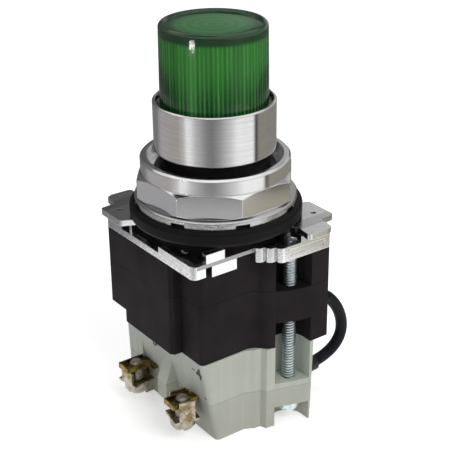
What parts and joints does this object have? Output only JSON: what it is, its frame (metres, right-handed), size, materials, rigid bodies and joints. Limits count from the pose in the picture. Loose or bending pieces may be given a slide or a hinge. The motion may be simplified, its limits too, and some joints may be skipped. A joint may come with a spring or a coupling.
{
  "type": "panel pilot light",
  "caption": "Panel-mounted push-to-test pilot light: tall green lens in a bright ring, octagonal nut, die-cast seat, black lamp housing and grey contact block with screw terminals.",
  "frame": {"origin": "on the axis of the light, in the plane of the panel's rear face, which is the top of the sealing gasket", "axes": "+Z along the axis towards the lens, -Y the wide front with the exposed mounting screw, terminals at -X and +X"},
  "size_m": [0.0567, 0.0486, 0.1017],
  "materials": {
    "lens_green": "moulded translucent green, polished",
    "black_rubber": "moulded black rubber",
    "gasket_rubber": "moulded black rubber with a smooth rim",
    "bright_chrome": "turned and chrome plated",
    "nut_chrome": "cast and satin chrome plated",
    "washer_steel": "stamped and zinc plated",
    "die_cast": "die cast, satin",
    "white_plastic": "moulded natural nylon",
    "spring_steel": "drawn wire",
    "black_housing": "moulded black phenolic",
    "holder_plastic": "moulded brown phenolic",
    "socket_brass": "rolled brass",
    "contact_copper": "stamped copper alloy",
    "lamp_metal": "nickel plated brass cap",
    "lamp_glass": "clear glass",
    "core_iron": "stacked laminations",
    "coil_tape": "taped winding",
    "lead_black": "flexible black insulation",
    "lug_tin": "tinned copper",
    "block_grey": "moulded grey plastic",
    "block_base_grey": "moulded grey plastic",
    "carriage_plastic": "moulded plastic",
    "terminal_brass": "yellow chromate on steel",
    "clamp_brass": "yellow chromate on steel",
    "screw_nickel": "nickel plated",
    "screw_zinc": "zinc plated steel"
  },
  "bodies": {
    "housing": {"operator_body": "die_cast", "neck_seal": "black_rubber", "panel_gasket": "gasket_rubber", "upper_housing": "black_housing", "lower_housing": "black_housing", "lamp_holder": "holder_plastic", "lamp_socket": "socket_brass", "centre_contact": "contact_copper", "lamp_base": "lamp_metal", "lamp_bulb": "lamp_glass", "transformer_core": "core_iron", "transformer_coil": "coil_tape", "lead_grommet": "black_rubber", "lead_wire": "lead_black", "lead_lug": "lug_tin", "contact_block_top": "block_grey", "contact_block_base": "block_base_grey", "return_spring": "spring_steel", "carriage_spring": "spring_steel", "mounting_screw_front": "screw_zinc", "mounting_screw_back": "screw_zinc", "terminal_strip_1": "terminal_brass", "saddle_clamp_1": "clamp_brass", "terminal_screw_1": "screw_nickel", "terminal_strip_2": "terminal_brass", "saddle_clamp_2": "clamp_brass", "terminal_screw_2": "screw_nickel", "terminal_strip_3": "terminal_brass", "saddle_clamp_3": "clamp_brass", "terminal_screw_3": "screw_nickel", "terminal_strip_4": "terminal_brass", "saddle_clamp_4": "clamp_brass", "terminal_screw_4": "screw_nickel"},
    "pusher": {"lens": "lens_green", "lens_gasket": "black_rubber", "lens_sleeve": "bright_chrome", "plunger": "white_plastic", "retaining_clip": "spring_steel", "push_yoke": "white_plastic"},
    "carriage": {"contact_carriage": "carriage_plastic", "make_bridge": "contact_copper", "break_bridge": "contact_copper"},
    "washer": {"thrust_washer": "washer_steel"},
    "nut": {"mounting_nut": "nut_chrome"}
  },
  "joints": [
    {"name": "push", "type": "slide", "parent": "housing", "child": "pusher", "axis": [0, 0, -1], "range_m": [0, 0.004], "stiffness_N_per_m": 1500, "springref_m": -0.004, "deforming": ["return_spring"]},
    {"name": "contact_travel", "type": "slide", "parent": "housing", "child": "carriage", "axis": [0, 0, -1], "range_m": [0, 0.004], "stiffness_N_per_m": 400, "springref_m": -0.004, "deforming": ["carriage_spring"]},
    {"name": "panel_grip", "type": "slide", "parent": "housing", "child": "washer", "axis": [0, 0, 1], "range_m": [0, 0.0045]},
    {"name": "nut_turn", "type": "hinge", "parent": "washer", "child": "nut", "pos_m": [0, 0, 0.005], "axis": [0, 0, 1], "range_deg": [0, 1080]}
  ],
  "couplings": [
    {"joint": "contact_travel", "follows": "push", "ratio": 1},
    {"joint": "nut_turn", "follows": "panel_grip", "rad_per_m": 4188.8}
  ]
}
